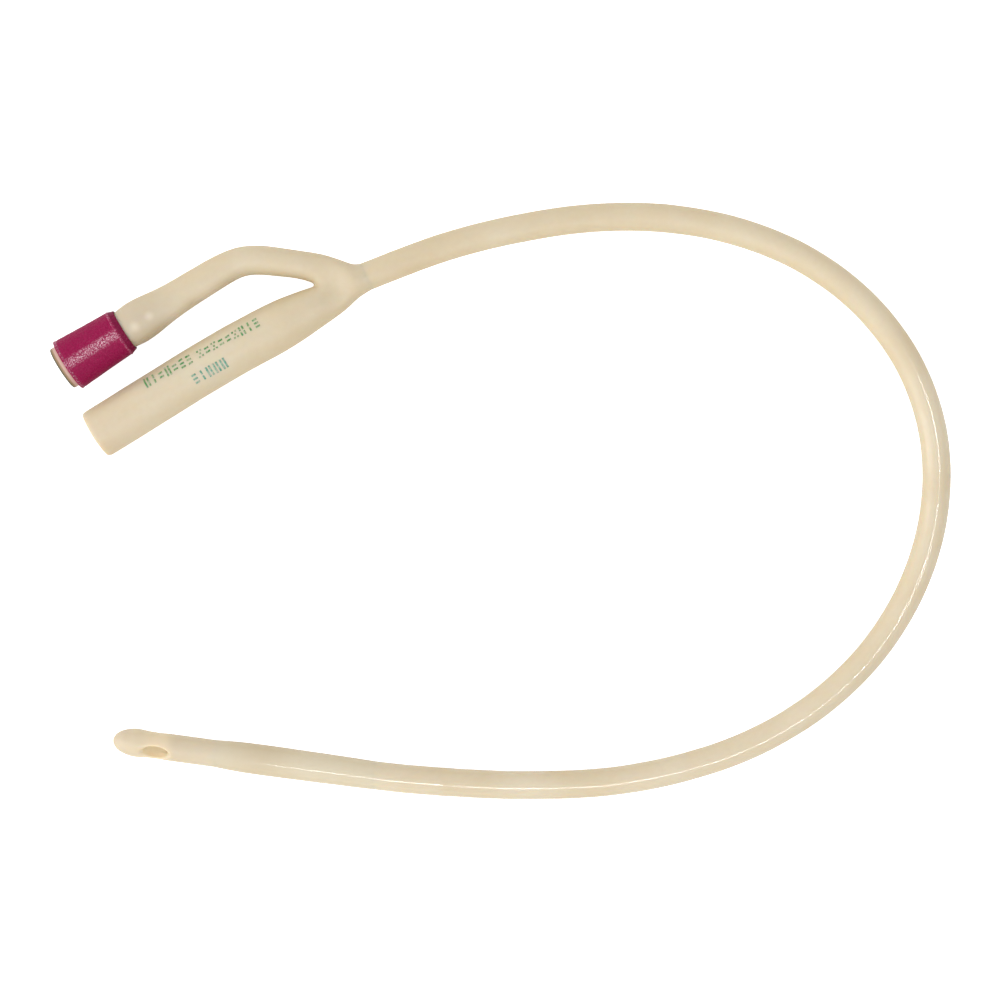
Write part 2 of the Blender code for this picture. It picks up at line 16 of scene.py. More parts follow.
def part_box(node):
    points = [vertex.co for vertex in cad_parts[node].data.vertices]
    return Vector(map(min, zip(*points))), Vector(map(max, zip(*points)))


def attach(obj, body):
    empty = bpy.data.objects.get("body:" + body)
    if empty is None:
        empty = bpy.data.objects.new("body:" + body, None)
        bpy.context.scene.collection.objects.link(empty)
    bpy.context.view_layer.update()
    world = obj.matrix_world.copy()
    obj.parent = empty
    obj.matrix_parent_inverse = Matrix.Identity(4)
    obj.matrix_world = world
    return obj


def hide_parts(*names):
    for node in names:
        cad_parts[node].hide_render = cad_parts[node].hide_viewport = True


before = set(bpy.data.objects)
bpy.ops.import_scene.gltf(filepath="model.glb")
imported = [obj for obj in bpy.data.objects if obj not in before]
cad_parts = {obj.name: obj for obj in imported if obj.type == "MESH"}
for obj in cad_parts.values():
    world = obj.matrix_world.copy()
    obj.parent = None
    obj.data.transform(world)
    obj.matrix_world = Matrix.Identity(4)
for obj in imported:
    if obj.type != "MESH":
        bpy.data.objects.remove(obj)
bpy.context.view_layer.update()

bl_info = {
    "name": "Latex retention catheter",
    "version": (1, 0, 0),
    "blender": (4, 5, 0),
    "location": "3D View > Sidebar > Catheter",
    "description": "Builds the visible pieces of a latex catheter and a stage, on its packed solids",
    "category": "Add Mesh",
}

BODY = "root"

# Name under which a piece stores how far each of its points faces up
UPWARD = "upward"

# Vertices closer than this are one
WELD = 1e-6

# Headings on the table: where the shaft leaves the neck, and where the tip points
NECK_HEADING = math.radians(-10.5)
TIP_HEADING = math.radians(140.3)

# Where the shaft leaves the neck, then its route along the table
SHAFT_START = (0.0342, -0.0097, 0.00543)
ROUTE = (
    (0.0499, -0.0128, 0.0046),
    (0.0652, -0.0176, 0.0037),
    (0.0799, -0.0240, 0.0031),
    (0.0934, -0.0325, 0.0030),
    (0.1051, -0.0433, 0.0030),
    (0.1143, -0.0564, 0.0030),
    (0.1198, -0.0714, 0.0030),
    (0.1208, -0.0873, 0.0030),
    (0.1169, -0.1027, 0.0030),
    (0.1084, -0.1162, 0.0030),
    (0.0965, -0.1268, 0.0030),
    (0.0823, -0.1340, 0.0030),
    (0.0668, -0.1375, 0.0030),
    (0.0508, -0.1374, 0.0030),
    (0.0352, -0.1341, 0.0030),
    (0.0202, -0.1284, 0.0030),
    (0.0062, -0.1207, 0.0030),
    (-0.0071, -0.1119, 0.0031),
    (-0.0230, -0.0999, 0.00327),
)

# Outer skin of the balloon: distance beyond the end of the shaft, and radius
BALLOON_INSIDE = 0.0026
BALLOON_SKIN = (
    (-0.0035, 0.00285),
    (-0.0008, 0.00301),
    (0.0030, 0.00308),
    (0.0090, 0.00315),
    (0.0160, 0.00321),
    (0.0225, 0.00325),
    (0.0265, 0.00322),
    (0.0298, 0.00308),
    (0.0325, 0.00291),
    (0.0345, 0.00277),
)

# Stretches of the tip, as distances beyond the end of the shaft: each eases in from its first to its second
SLIM_STRETCH = (0.0445, 0.0410)
FULL_STRETCH = (0.0475, 0.0500)
LONG_STRETCH = (0.0470, 0.0540)

# Printed marks: their origin is above the middle of the mouth, from the low corner of the funnel body, and
# the rows start from there. The upper row is in two groups
PRINT_ORIGIN = (0.0, 0.0062, 0.02)
UPPER_ROW = (0.0158, 0.0033, 0)
LOWER_ROW = (0.0250, -0.0015, 0)
PRINT_HEADING = math.radians(-3.4)
PRINT_PITCH = 0.00168
SECOND_GROUP = 7.6 * PRINT_PITCH

# The kinds of plain mark, each as strokes: place across and up, width and height, in shares of its height
MARK_STROKES = (
    ((-0.17, 0, 0, 1), (0.17, 0, 0, 1)),
    ((0, 0.38, 0.46, 0), (0, 0, 0.46, 0), (0, -0.38, 0.46, 0)),
    ((0, 0.27, 0, 0.42), (0, -0.27, 0, 0.42)),
    ((-0.17, 0.27, 0, 0.4), (0.17, 0.27, 0, 0.4), (-0.17, -0.27, 0, 0.4), (0.17, -0.27, 0, 0.4)),
    ((0, 0.2, 0.46, 0), (0, -0.2, 0.46, 0)),
    ((-0.17, 0.3, 0, 0), (0.17, 0.3, 0, 0), (0, 0, 0, 0), (-0.17, -0.3, 0, 0), (0.17, -0.3, 0, 0)),
)

# Tints of the latex: darker towards the nose, a darker patch on the balloon, painted light on the arm
# (painted highlights and lifted shade), darker next to the band, and painted light that glows in the eye
NOSE_TINT = (0.535, 0.45, 0.325)
BALLOON_PATCH_TINT = (0.50, 0.40, 0.26)
ARM_PAINTED_LIGHT = (0.80, 0.72, 0.60)
DULL = (0.50, 0.42, 0.31)
EYE_PAINTED_LIGHT = (1.0, 0.88, 0.56)

# Painted shade: what the flanks and the underside of the latex are multiplied by, darker and warmer than
# where it faces up
FLANK_PAINTED_SHADE = (0.98, 0.94, 0.85, 1)

# Painted highlight points of the band, then the outer edge of the plug's rim and the strip of it next to
# the band
BAND_PAINTED_HIGHLIGHT = (0.80, 0.42, 0.56, 1)
PLUG_EDGE = (0.09, 0.075, 0.035, 1)
PLUG_STRIP = (0.62, 0.43, 0.35, 1)

# Roughness of the slippery coat where it has gone dull, and where it shines
DULL_COAT = 0.26
SHINY_COAT = 0.05

# The coat still shines on one side of a line across the loop, through this point
GLOSS_LINE = (0.0495, -0.0352, 0)
GLOSS_SIDE = (-0.528, -0.849, 0)

# Stage: places are from the middle of the view, turned with it
SENSOR_WIDTH = 36
TABLE_SIDE = 8.0
TABLE_DEPTH = 0.00002
TABLE_WHITE = (0.82, 0.82, 0.82, 1)
BRIGHTEST_SKY = (-0.9, -0.44, 0)
SOFTBOX_PLACE = (-0.80, -0.24, 0.44)
SOFTBOX_SIDE = 0.90
SPARK_PLACE = (-0.082, 0.012, 0.62)
SPARK_SIDE = 0.07
STRIP_WIDTH = 0.016

# The slim strips: name, place, length and heading in degrees
STRIPS = (
    ("lower_strip", (0.009, -0.229, 0.40), 0.24, 0),
    ("corner_strip", (0.222, -0.149, 0.40), 0.26, 45),
    ("right_strip", (0.195, 0.012, 0.40), 0.16, 90),
)


# Settings


def metres(label, text, default):
    return bpy.props.FloatProperty(name=label, description=text, default=default, unit="LENGTH")


def swatch(label, text, default):
    return bpy.props.FloatVectorProperty(
        name=label, description=text, default=default, subtype="COLOR", size=3, min=0, max=1
    )


def number(label, text, default, **options):
    return bpy.props.FloatProperty(name=label, description=text, default=default, **options)


def count(label, text, default, least=0):
    return bpy.props.IntProperty(name=label, description=text, default=default, min=least)


class CatheterShape(bpy.types.PropertyGroup):
    shaft_diameter: metres("Shaft diameter", "Outside of the shaft", 0.006)
    shaft_sides: count("Shaft sides", "Faces round the shaft", 64, least=12)
    shaft_ring_spacing: metres("Shaft ring spacing", "Distance between rings of the shaft", 0.0005)
    joint_gap: metres("Joint gap", "Gap of the solids between the shaft and its neighbours", 0.0003)
    skin_unevenness: metres("Skin unevenness", "How far the dipped latex wanders in and out", 0.00006)
    skin_wave: metres("Skin wave", "Length of the waves in the dipped latex", 0.007)
    skin_ripple: metres("Skin ripple", "Height of the fine ripples on the shaft", 0.0000022)
    ripple_wave: metres("Ripple wave", "Length of the fine ripples on the shaft", 0.0018)
    tip_voxel: metres("Tip fineness", "Size of the faces on the tip", 0.00015)
    tip_polish: count("Tip polish", "Rounds of smoothing, which soften the edges of the eyes", 6)
    nose_fullness: number("Nose fullness", "Share added to the nose, and taken off behind it", 0.04)
    nose_growth: metres("Nose growth", "How much longer the nose is than on the solids", 0.0003)
    funnel_voxel: metres("Funnel fineness", "Size of the faces on the funnel body", 0.00029)
    funnel_polish: count("Funnel polish", "Rounds of smoothing on the funnel body", 8)
    neck_blend: metres("Neck blend", "Length of neck that narrows until it runs under the shaft", 0.005)
    neck_narrowing: number("Neck narrowing", "Share by which the end of the neck is narrower", 0.05)


class CatheterFinish(bpy.types.PropertyGroup):
    latex: swatch("Latex", "Cream of the natural latex", (0.628, 0.550, 0.406))
    latex_deep: swatch("Deep latex", "Warmer cream where the latex is thick", (0.555, 0.448, 0.28))
    band: swatch("Band", "Crimson of the colour band", (0.337, 0.0034, 0.070))
    plug: swatch("Plug", "Olive brown of the valve plug", (0.25, 0.16, 0.08))
    ink: swatch("Ink", "Green of the upper row of printed marks", (0.06, 0.24, 0.06))
    ink_cool: swatch("Cool ink", "Bluish green of the lower row of printed marks", (0.07, 0.28, 0.19))


class CatheterStage(bpy.types.PropertyGroup):
    camera_height: metres("Camera height", "Height of the camera above the table", 0.55)
    view_width: metres("View width", "Width of the table in the picture, at the shaft", 0.21307)
    view_centre: bpy.props.FloatVectorProperty(
        name="View centre", description="Point of the table under the camera", size=2, unit="LENGTH",
        default=(0.03133, -0.0644),
    )
    view_turn: number(
        "View turn", "Turn of the camera about the vertical", math.radians(-31.9), subtype="ANGLE"
    )
    softbox_power: number(
        "Softbox power", "Power of the large softbox low on the left", 2.0, unit="POWER"
    )
    spark_power: number(
        "Spark power", "Power of the small lamp that lights the crinkles of the band", 1.2, unit="POWER"
    )
    glint_power: number("Glint power", "Power of each metre of the slim strips, for the highlight", 1.3)
    sky_lean: number("Sky lean", "How much brighter than average the sky is at its brightest", 0.32)
    sky_strength: number("Sky strength", "Strength of the white surroundings", 1.15)
    table_glow: number("Table glow", "Extra white of the table for the camera, against shadows", 0.8)


class CatheterSettings(bpy.types.PropertyGroup):
    shape: bpy.props.PointerProperty(type=CatheterShape)
    finish: bpy.props.PointerProperty(type=CatheterFinish)
    stage: bpy.props.PointerProperty(type=CatheterStage)


def settings():
    return bpy.context.scene.catheter


# Nodes


def add(tree, kind, inputs=(), **options):
    """A node with its options. Each input is given as a value, or as the output that feeds it."""
    node = tree.nodes.new(kind)
    node.location.x = 190 * len(tree.nodes)
    for name, value in options.items():
        setattr(node, name, value)
    for key, value in dict(inputs).items():
        feed(tree, node.inputs[key], value)
    return node


def feed(tree, socket, value):
    if isinstance(value, bpy.types.NodeSocket):
        tree.links.new(value, socket)
    else:
        socket.default_value = value


def maths(tree, operation, *values):
    return add(tree, "ShaderNodeMath", enumerate(values), operation=operation).outputs[0]


def vector_maths(tree, operation, *vectors, scale=None, result="Vector"):
    inputs = dict(enumerate(vectors))
    if scale is not None:
        inputs["Scale"] = scale
    return add(tree, "ShaderNodeVectorMath", inputs, operation=operation).outputs[result]


def ranged(tree, value, start, end, low=0.0, high=1.0, smooth=False):
    """A value that goes from low at the start to high at the end, and is held beyond them."""
    return add(
        tree, "ShaderNodeMapRange",
        {"Value": value, "From Min": start, "From Max": end, "To Min": low, "To Max": high},
        interpolation_type="SMOOTHSTEP" if smooth else "LINEAR",
    ).outputs[0]


def object_place(tree):
    return add(tree, "ShaderNodeTexCoord").outputs["Object"]


def noise(tree, scale, detail):
    """Smooth noise over the piece, by the number of its swells in a metre."""
    return add(
        tree, "ShaderNodeTexNoise", {"Vector": object_place(tree), "Scale": scale, "Detail": detail}
    ).outputs[0]


def mixed(tree, factor, first, second, blend="MIX"):
    """A mix of two colours."""
    node = add(tree, "ShaderNodeMix", data_type="RGBA", blend_type=blend)
    colours = [socket for socket in node.inputs if socket.type == "RGBA"]
    for socket, value in zip([node.inputs[0], *colours], (factor, first, second)):
        feed(tree, socket, value)
    return [socket for socket in node.outputs if socket.type == "RGBA"][0]


def socket_kind(value):
    """The kind of socket for a value, or the kind itself where it is given by name."""
    if isinstance(value, str):
        return value
    if isinstance(value, tuple):
        return "Color" if len(value) == 4 else "Vector"
    return "Int" if isinstance(value, int) else "Float"


def new_tree(name, kind, inputs, outputs):
    """A node group, and what its input node gives. A socket is given by its default, or by its kind."""
    tree = bpy.data.node_groups.new(name, kind)
    for side, sockets in (("INPUT", inputs), ("OUTPUT", outputs)):
        for label, value in sockets.items():
            socket_type = "NodeSocket" + socket_kind(value)
            socket = tree.interface.new_socket(label, in_out=side, socket_type=socket_type)
            if not isinstance(value, str):
                socket.default_value = value
    return tree, add(tree, "NodeGroupInput").outputs


BUILT = {}


def built(maker):
    """The node tree that a maker makes, made once."""
    if maker not in BUILT:
        BUILT[maker] = maker()
    return BUILT[maker]


def run_tree(obj, tree, values):
    """Run a geometry tree on a mesh object, and keep the result as its plain mesh."""
    modifier = obj.modifiers.new(tree.name, "NODES")
    modifier.node_group = tree
    for item in tree.interface.items_tree:
        if item.item_type == "SOCKET" and item.in_out == "INPUT" and item.name in values:
            modifier[item.identifier] = values[item.name]
    settle(obj)


def settle(obj):
    """Make the result of the modifiers the object's own mesh."""
    graph = bpy.context.evaluated_depsgraph_get()
    mesh = bpy.data.meshes.new_from_object(obj.evaluated_get(graph))
    obj.modifiers.clear()
    obj.data = mesh
    mesh.name = obj.name


# Geometry trees


def tube_tree():
    """A tube along a line of points, with a slightly uneven skin."""
    tree, given = new_tree(
        "tube_along_route",
        "GeometryNodeTree",
        {
            "Geometry": "Geometry",
            "Radius": 0.003,
            "Sides": 32,
            "Ring Spacing": 0.001,
            "Unevenness": 0.00003,
            "Wave": 0.008,
            "Ripple": 0.00001,
            "Ripple Wave": 0.002,
            "Seed": 1.0,
            "Material": "Material",
        },
        {"Geometry": "Geometry"},
    )
    line = add(tree, "GeometryNodeMeshToCurve", {"Mesh": given["Geometry"]})
    even = add(
        tree, "GeometryNodeResampleCurve",
        {"Curve": line.outputs[0], "Length": given["Ring Spacing"]}, mode="LENGTH",
    )
    ring = add(
        tree, "GeometryNodeCurvePrimitiveCircle",
        {"Resolution": given["Sides"], "Radius": given["Radius"]},
    )
    tube = add(
        tree, "GeometryNodeCurveToMesh",
        {"Curve": even.outputs[0], "Profile Curve": ring.outputs["Curve"], "Fill Caps": True},
    )
    waved = uneven(tree, tube.outputs[0], given["Unevenness"], given["Wave"], given["Seed"])
    rippled = uneven(tree, waved, given["Ripple"], given["Ripple Wave"], given["Seed"])
    finish_tree(tree, rippled, given["Material"])
    return tree


def uneven(tree, geometry, amount, wave, seed):
    """Nodes that move each point in or out by a smooth noise."""
    place = add(tree, "GeometryNodeInputPosition").outputs[0]
    swell = add(
        tree, "ShaderNodeTexNoise",
        {"Vector": place, "W": seed, "Scale": maths(tree, "DIVIDE", 1.0, wave), "Detail": 1.5},
        noise_dimensions="4D",
    )
    swing = maths(tree, "SUBTRACT", swell.outputs[0], 0.5)
    swing = maths(tree, "MULTIPLY", swing, maths(tree, "MULTIPLY", amount, 2.0))
    normal = add(tree, "GeometryNodeInputNormal").outputs[0]
    offset = vector_maths(tree, "SCALE", normal, scale=swing)
    return add(tree, "GeometryNodeSetPosition", {"Geometry": geometry, "Offset": offset}).outputs[0]


def finish_tree(tree, geometry, material):
    """Last nodes of a piece. They store how far each point faces up, which its material may read."""
    real = add(tree, "GeometryNodeRealizeInstances", {"Geometry": geometry})
    normal = add(tree, "GeometryNodeInputNormal").outputs[0]
    upward = add(tree, "ShaderNodeSeparateXYZ", {0: normal}).outputs["Z"]
    kept = add(
        tree, "GeometryNodeStoreNamedAttribute",
        {"Geometry": real.outputs[0], "Name": UPWARD, "Value": upward}, data_type="FLOAT", domain="POINT",
    )
    smooth = add(tree, "GeometryNodeSetShadeSmooth", {"Geometry": kept.outputs[0]})
    dressed = add(tree, "GeometryNodeSetMaterial", {"Geometry": smooth.outputs[0], "Material": material})
    add(tree, "NodeGroupOutput", {"Geometry": dressed.outputs[0]})


def skin_tree():
    """Softens a mesh's edges and gives it the gentle waves of dipped latex."""
    tree, given = new_tree(
        "dipped_skin",
        "GeometryNodeTree",
        {
            "Geometry": "Geometry",
            "Polish": 0,
            "Unevenness": 0.00005,
            "Wave": 0.007,
            "Seed": 1.0,
            "Material": "Material",
        },
        {"Geometry": "Geometry"},
    )
    place = add(tree, "GeometryNodeInputPosition").outputs[0]
    soft = add(
        tree, "GeometryNodeBlurAttribute", {"Value": place, "Iterations": given["Polish"]},
        data_type="FLOAT_VECTOR",
    )
    polished = add(
        tree, "GeometryNodeSetPosition", {"Geometry": given["Geometry"], "Position": soft.outputs[0]}
    )
    skin = uneven(tree, polished.outputs[0], given["Unevenness"], given["Wave"], given["Seed"])
    finish_tree(tree, skin, given["Material"])
    return tree


def dip(piece, material, unevenness, wave, polish=0):
    """Give a piece its material and the skin of dipped latex."""
    values = {"Polish": polish, "Unevenness": unevenness, "Wave": wave, "Material": material}
    run_tree(piece, built(skin_tree), values)


def marks_tree():
    """A row of small printed marks, laid on the skin of the funnel as thin ink."""
    tree, given = new_tree(
        "printed_row",
        "GeometryNodeTree",
        {
            "Geometry": "Geometry",
            "Skin": "Object",
            "Start": (0, 0, 0),
            "Step": (0.002, 0, 0),
            "Count": 8,
            "Height": 0.0022,
            "Stroke": 0.0004,
            "Seed": 5,
            "Ink Thickness": 0.00002,
            "Material": "Material",
        },
        {"Geometry": "Geometry"},
    )
    line = add(
        tree, "GeometryNodeMeshLine",
        {"Count": given["Count"], "Start Location": given["Start"], "Offset": given["Step"]},
    )
    kinds = mark_kinds(tree, given["Height"], given["Stroke"])
    pick = add(
        tree, "FunctionNodeRandomValue",
        {"Min": 0, "Max": len(MARK_STROKES) - 1, "Seed": given["Seed"]}, data_type="INT",
    )
    row = add(
        tree, "GeometryNodeInstanceOnPoints",
        {"Points": line.outputs["Mesh"], "Instance": kinds, "Pick Instance": True},
    )
    for socket in row.inputs:
        if socket.name == "Instance Index":
            tree.links.new([output for output in pick.outputs if output.type == "INT"][0], socket)
    flat = add(tree, "GeometryNodeRealizeInstances", {"Geometry": row.outputs[0]})
    closed = laid_ink(tree, flat.outputs[0], given["Skin"], given["Ink Thickness"])
    finish_tree(tree, closed, given["Material"])
    return tree


def mark_kinds(tree, mark_height, stroke):
    """One instance of each kind of plain mark, drawn from small tiles."""
    kinds = add(tree, "GeometryNodeGeometryToInstance")
    for strokes in MARK_STROKES:
        mark = add(tree, "GeometryNodeJoinGeometry")
        for shares in strokes:
            across, up, width, height = (maths(tree, "MULTIPLY", mark_height, share) for share in shares)
            tile = add(
                tree, "GeometryNodeMeshGrid",
                {
                    "Size X": maths(tree, "MAXIMUM", width, stroke),
                    "Size Y": maths(tree, "MAXIMUM", height, stroke),
                    "Vertices X": 5,
                    "Vertices Y": 9,
                },
            )
            shift = add(tree, "ShaderNodeCombineXYZ", {"X": across, "Y": up})
            moved = add(
                tree, "GeometryNodeTransform",
                {"Geometry": tile.outputs["Mesh"], "Translation": shift.outputs[0]},
            )
            tree.links.new(moved.outputs[0], mark.inputs[0])
        tree.links.new(mark.outputs[0], kinds.inputs[0])
    return kinds.outputs[0]


def laid_ink(tree, flat, skin, thickness):
    """Drops flat marks onto a skin, and gives them the thickness of ink as closed tiles."""
    target = add(tree, "GeometryNodeObjectInfo", {"Object": skin}).outputs["Geometry"]
    place = add(tree, "GeometryNodeInputPosition").outputs[0]
    downwards = {"Ray Direction": (0, 0, -1), "Ray Length": PRINT_ORIGIN[2]}
    hit = add(
        tree, "GeometryNodeRaycast", {"Target Geometry": target, "Source Position": place, **downwards}
    )
    lift = vector_maths(tree, "SCALE", hit.outputs["Hit Normal"], scale=thickness)
    on_skin = vector_maths(tree, "ADD", hit.outputs["Hit Position"], lift)
    laid = add(tree, "GeometryNodeSetPosition", {"Geometry": flat, "Position": on_skin}).outputs[0]
    thick = add(
        tree, "GeometryNodeExtrudeMesh", {"Mesh": laid, "Offset Scale": thickness, "Individual": False},
        mode="FACES",
    )
    under = add(tree, "GeometryNodeFlipFaces", {"Mesh": laid})
    both = add(tree, "GeometryNodeJoinGeometry")
    tree.links.new(thick.outputs["Mesh"], both.inputs[0])
    tree.links.new(under.outputs[0], both.inputs[0])
    return add(
        tree, "GeometryNodeMergeByDistance", {"Geometry": both.outputs[0], "Distance": WELD}
    ).outputs[0]


# Shader groups


def shader_group(name, inputs, outputs):
    return new_tree(name, "ShaderNodeTree", inputs, outputs)


def mask_group(name, inputs):
    return shader_group(name, inputs, {"Mask": "Float"})


def latex_tone_group():
    """Cream that drifts towards a warmer tone in broad soft patches, with faint cloudiness."""
    tree, given = shader_group(
        "latex_tone",
        {
            "Pale": (0.7, 0.6, 0.4, 1),
            "Deep": (0.6, 0.45, 0.27, 1),
            "Patches per Metre": 60.0,
            "Clouds per Patch": 14.0,
            "Cloud Share": 0.2,
            "Drift": 0.5,
            "Roughness": 0.4,
        },
        {"Color": "Color", "Roughness": "Float"},
    )
    patches = noise(tree, given["Patches per Metre"], detail=3.0)
    cloud_scale = maths(tree, "MULTIPLY", given["Patches per Metre"], given["Clouds per Patch"])
    clouds = noise(tree, cloud_scale, detail=2.0)
    patch_share = maths(tree, "SUBTRACT", 1.0, given["Cloud Share"])
    both = maths(
        tree, "ADD",
        maths(tree, "MULTIPLY", patches, patch_share),
        maths(tree, "MULTIPLY", clouds, given["Cloud Share"]),
    )
    tone = mixed(tree, ranged(tree, both, 0.35, 0.65, high=given["Drift"]), given["Pale"], given["Deep"])
    swing = maths(tree, "MULTIPLY", maths(tree, "SUBTRACT", clouds, 0.5), 0.2)
    dull = maths(tree, "ADD", given["Roughness"], swing)
    add(tree, "NodeGroupOutput", {"Color": tone, "Roughness": dull})
    return tree


def grain_group():
    """Height of a moulded skin: slow dips, and fine pebbling on top of them."""
    tree, given = shader_group(
        "skin_grain",
        {"Dips per Metre": 300.0, "Pebbles per Metre": 4000.0, "Pebble Share": 0.2},
        {"Height": "Float"},
    )
    dips = noise(tree, given["Dips per Metre"], detail=2.0)
    pebbles = noise(tree, given["Pebbles per Metre"], detail=3.0)
    height = maths(tree, "ADD", dips, maths(tree, "MULTIPLY", pebbles, given["Pebble Share"]))
    add(tree, "NodeGroupOutput", {"Height": height})
    return tree


def bloom_group():
    """Soft round patch about a point: full in its middle, none at its radius."""
    tree, given = mask_group(
        "bloom_patch", {"Middle": (0.0, 0.0, 0.0), "Radius": 0.002, "Amount": 0.3}
    )
    away = vector_maths(tree, "DISTANCE", object_place(tree), given["Middle"], result="Value")
    mask = ranged(tree, away, given["Radius"], 0.0, high=given["Amount"], smooth=True)
    add(tree, "NodeGroupOutput", {"Mask": mask})
    return tree


def rod_group():
    """Soft short rod about a point: full near its axis and middle, none beyond its radius and ends."""
    tree, given = mask_group(
        "soft_rod",
        {
            "Middle": (0.0, 0.0, 0.0),
            "Direction": (1.0, 0.0, 0.0),
            "Radius": 0.002,
            "Half Length": 0.004,
            "Amount": 0.3,
        },
    )
    away = vector_maths(tree, "SUBTRACT", object_place(tree), given["Middle"])
    crossed = vector_maths(tree, "CROSS_PRODUCT", away, given["Direction"])
    aside = vector_maths(tree, "LENGTH", crossed, result="Value")
    along = vector_maths(tree, "DOT_PRODUCT", away, given["Direction"], result="Value")
    across = stripe(tree, aside, 0.0, given["Radius"])
    length = stripe(tree, along, 0.0, given["Half Length"])
    mask = maths(tree, "MULTIPLY", maths(tree, "MULTIPLY", across, length), given["Amount"])
    add(tree, "NodeGroupOutput", {"Mask": mask})
    return tree


def painted_flank_shade_group():
    """Mask of the painted shade on the flanks and the underside of a piece: none where it faces up."""
    tree = mask_group("flank", {})[0]
    upward = add(tree, "ShaderNodeAttribute", attribute_name=UPWARD).outputs["Fac"]
    add(tree, "NodeGroupOutput", {"Mask": ranged(tree, upward, 1.0, 0.3)})
    return tree


def stripe_group():
    """Soft stripe of a value about a middle: full up to half its reach, none beyond its reach."""
    tree, given = mask_group("soft_stripe", {"Value": 0.0, "Middle": 0.0, "Reach": 0.001})
    away = maths(tree, "ABSOLUTE", maths(tree, "SUBTRACT", given["Value"], given["Middle"]))
    half = maths(tree, "MULTIPLY", given["Reach"], 0.5)
    add(tree, "NodeGroupOutput", {"Mask": ranged(tree, away, given["Reach"], half, smooth=True)})
    return tree


def gloss_group():
    """Mask of the shine of the slippery coat: gone beyond a line, and coming and going along the rest."""
    tree, given = mask_group(
        "slippery_coat",
        {
            "Line Point": (0.0, 0.0, 0.0),
            "Line Normal": (0.0, -1.0, 0.0),
            "Fade": 0.02,
            "Patches per Metre": 150.0,
            "Worn Share": 0.3,
        },
    )
    away = vector_maths(tree, "SUBTRACT", object_place(tree), given["Line Point"])
    depth = vector_maths(tree, "DOT_PRODUCT", away, given["Line Normal"], result="Value")
    reach = ranged(tree, depth, 0.0, given["Fade"], smooth=True)
    patches = noise(tree, given["Patches per Metre"], detail=2.0)
    worn = ranged(tree, patches, 0.34, 0.46, low=given["Worn Share"])
    add(tree, "NodeGroupOutput", {"Mask": maths(tree, "MULTIPLY", reach, worn)})
    return tree


def group(tree, maker, inputs):
    """What a shader group gives for these inputs."""
    return add(tree, "ShaderNodeGroup", inputs, node_tree=built(maker)).outputs


def stripe(tree, value, middle, reach):
    return group(tree, stripe_group, {"Value": value, "Middle": middle, "Reach": reach})["Mask"]


# Materials


def new_material(name, **inputs):
    """A material, and its tree and shader. Each input is named with underscores for its spaces."""
    material = bpy.data.materials.new(name)
    material.use_nodes = True
    shader = material.node_tree.nodes["Principled BSDF"]
    for label, value in inputs.items():
        shader.inputs[label.replace("_", " ")].default_value = value
    return material, material.node_tree, shader


def bump(tree, shader, distance, **grain):
    """Give a material the grain of a moulded skin."""
    inputs = {label.replace("_", " "): value for label, value in grain.items()}
    height = group(tree, grain_group, inputs)["Height"]
    node = add(tree, "ShaderNodeBump", {"Height": height, "Strength": 1.0, "Distance": distance})
    tree.links.new(node.outputs[0], shader.inputs["Normal"])


def latex(name, shade, roughness, blooms, coat=0.0, soft=0.5, shine=None, glow=None):
    """Natural latex: cream, a little translucent, with a soft sheen.

    A bloom is a place, a radius, a tint and a share. The shine of the coat is a place, the side of it
    on which the coat shines, the length over which that comes in, and the share of the coat that is
    left on the other side. A glow is painted light, emitted from inside the piece: a place and a
    direction, a radius and half a length inside which it glows, a tint and a share.
    """
    finish = settings().finish
    material, tree, shader = new_material(
        name,
        Specular_IOR_Level=0.2 if coat else 0.5,
        Subsurface_Weight=soft,
        Subsurface_Radius=(1.0, 0.55, 0.25),
        Subsurface_Scale=0.0025,
        Coat_Weight=coat,
        Coat_Roughness=SHINY_COAT if shine else DULL_COAT,
        Coat_IOR=1.9,
    )
    pale, deep = ((*(shade * Vector(colour)), 1) for colour in (finish.latex, finish.latex_deep))
    tone = group(tree, latex_tone_group, {"Pale": pale, "Deep": deep, "Roughness": roughness})
    colour = tone["Color"]
    for middle, radius, tint, amount in blooms:
        patch = group(tree, bloom_group, {"Middle": middle, "Radius": radius, "Amount": amount})
        colour = mixed(tree, patch["Mask"], colour, (*tint, 1))
    # Painted shade: the flanks and the underside are darkened and warmed by this tint
    side = group(tree, painted_flank_shade_group, {})["Mask"]
    colour = mixed(tree, side, colour, FLANK_PAINTED_SHADE, blend="MULTIPLY")
    tree.links.new(colour, shader.inputs["Base Color"])
    tree.links.new(tone["Roughness"], shader.inputs["Roughness"])
    if shine:
        point, heading, fade, left_over = shine
        mask = group(tree, gloss_group, {"Line Point": point, "Line Normal": heading, "Fade": fade})["Mask"]
        weight = ranged(tree, mask, 0.0, 1.0, low=left_over * coat, high=coat)
        tree.links.new(weight, shader.inputs["Coat Weight"])
    # Painted light: the glow is emission that lightens the piece inside the rod
    if glow:
        middle, direction, radius, half, tint, amount = glow
        inputs = {"Middle": middle, "Direction": direction, "Radius": radius, "Half Length": half}
        core = group(tree, rod_group, {**inputs, "Amount": amount})["Mask"]
        shader.inputs["Emission Strength"].default_value = 1.0
        tree.links.new(mixed(tree, core, (0, 0, 0, 1), (*tint, 1)), shader.inputs["Emission Color"])
    bump(tree, shader, 0.00003)
    return material


